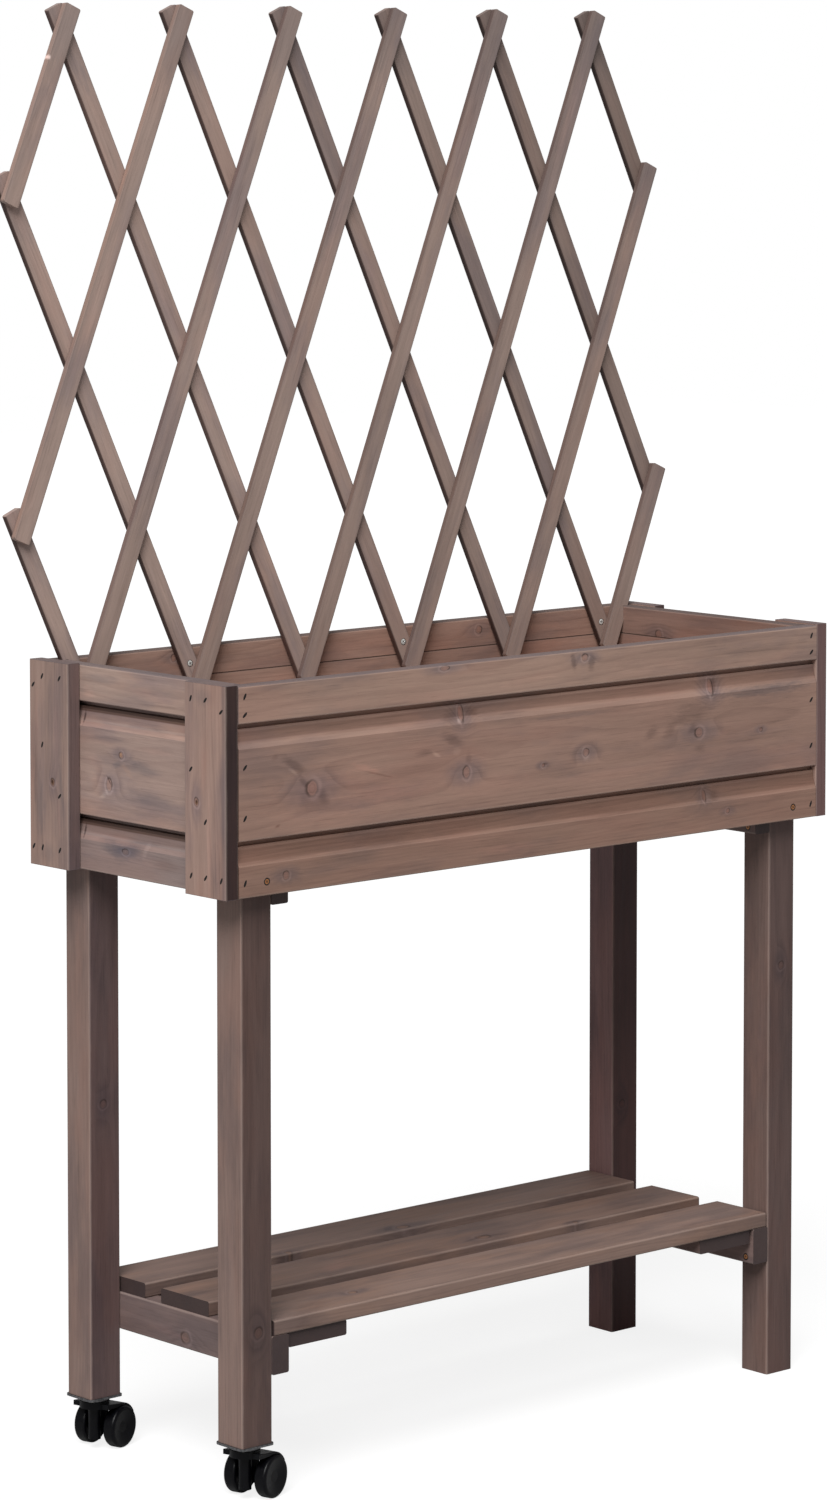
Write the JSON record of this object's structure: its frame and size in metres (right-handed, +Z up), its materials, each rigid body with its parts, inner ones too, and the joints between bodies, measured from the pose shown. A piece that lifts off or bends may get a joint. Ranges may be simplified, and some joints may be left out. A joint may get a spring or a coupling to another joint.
{
  "type": "planter with trellis",
  "caption": "Raised wooden planter box on legs with a slatted lower shelf, twin-wheel casters at one end and a diamond lattice trellis at the back.",
  "frame": {"origin": "on the floor under the middle of the whole part", "axes": "+X towards the end without casters, +Y from the front to the trellis side, +Z up"},
  "size_m": [1.0748, 0.3802, 1.723],
  "materials": {
    "walls": "stained, satin",
    "legs": "stained, satin",
    "shelf": "stained, satin",
    "trellis": "stained, satin",
    "rails": "stained, satin",
    "floor": "stained, satin",
    "caster_plastic": "satin",
    "caster_wheel": "satin",
    "caster_plate": "dull zinc",
    "nails": "dark, weathered",
    "screws": "zinc"
  },
  "bodies": {
    "planter": {"front_board_bottom": "walls", "front_board_middle": "walls", "front_board_top": "walls", "back_board_bottom": "walls", "back_board_middle": "walls", "back_board_top": "walls", "left_board_bottom": "walls", "left_board_middle": "walls", "left_board_top": "walls", "right_board_bottom": "walls", "right_board_middle": "walls", "right_board_top": "walls", "cover_front_left": "walls", "leg_front_left": "legs", "cover_front_right": "walls", "leg_front_right": "legs", "cover_back_left": "walls", "leg_back_left": "legs", "cover_back_right": "walls", "leg_back_right": "legs", "floor_rail_left": "rails", "shelf_rail_left": "rails", "floor_rail_right": "rails", "shelf_rail_right": "rails", "floor_boards": "floor", "trellis_front_lath_1": "trellis", "trellis_back_lath_1": "trellis", "trellis_front_lath_2": "trellis", "trellis_back_lath_2": "trellis", "trellis_front_lath_3": "trellis", "trellis_back_lath_3": "trellis", "trellis_front_lath_4": "trellis", "trellis_back_lath_4": "trellis", "trellis_front_lath_5": "trellis", "trellis_back_lath_5": "trellis", "trellis_front_lath_6": "trellis", "trellis_back_lath_6": "trellis", "trellis_front_lath_7": "trellis", "trellis_back_lath_7": "trellis", "trellis_front_lath_8": "trellis", "trellis_back_lath_8": "trellis", "caster_plate_front": "caster_plate", "caster_plate_back": "caster_plate", "box_nails": "nails", "trellis_brads": "nails", "frame_screws": "screws", "caster_screws": "screws", "trellis_screws": "screws"},
    "shelf": {"shelf_slat_front": "shelf", "shelf_slat_middle": "shelf", "shelf_slat_back": "shelf", "shelf_batten_left": "shelf", "shelf_batten_right": "shelf", "shelf_screws": "screws"},
    "caster_front": {"caster_housing_front": "caster_plastic"},
    "wheel_front_outer": {"caster_wheel_front_outer": "caster_wheel"},
    "wheel_front_inner": {"caster_wheel_front_inner": "caster_wheel"},
    "caster_back": {"caster_housing_back": "caster_plastic"},
    "wheel_back_outer": {"caster_wheel_back_outer": "caster_wheel"},
    "wheel_back_inner": {"caster_wheel_back_inner": "caster_wheel"}
  },
  "joints": [
    {"name": "shelf_lift", "type": "slide", "parent": "planter", "child": "shelf", "axis": [0, 0, 1], "range_m": [0, 0.25]},
    {"name": "caster_front_swivel", "type": "hinge", "parent": "planter", "child": "caster_front", "pos_m": [-0.4305, -0.14856, 0], "axis": [0, 0, 1], "continuous": true},
    {"name": "wheel_front_outer_roll", "type": "hinge", "parent": "caster_front", "child": "wheel_front_outer", "pos_m": [-0.40941, -0.14232, 0.025], "axis": [0.284, -0.9588, 0], "continuous": true},
    {"name": "wheel_front_inner_roll", "type": "hinge", "parent": "caster_front", "child": "wheel_front_inner", "pos_m": [-0.40941, -0.14232, 0.025], "axis": [0.284, -0.9588, 0], "continuous": true},
    {"name": "caster_back_swivel", "type": "hinge", "parent": "planter", "child": "caster_back", "pos_m": [-0.4305, 0.13244, 0], "axis": [0, 0, 1], "continuous": true},
    {"name": "wheel_back_outer_roll", "type": "hinge", "parent": "caster_back", "child": "wheel_back_outer", "pos_m": [-0.40941, 0.13868, 0.025], "axis": [0.284, -0.9588, 0], "continuous": true},
    {"name": "wheel_back_inner_roll", "type": "hinge", "parent": "caster_back", "child": "wheel_back_inner", "pos_m": [-0.40941, 0.13868, 0.025], "axis": [0.284, -0.9588, 0], "continuous": true}
  ]
}
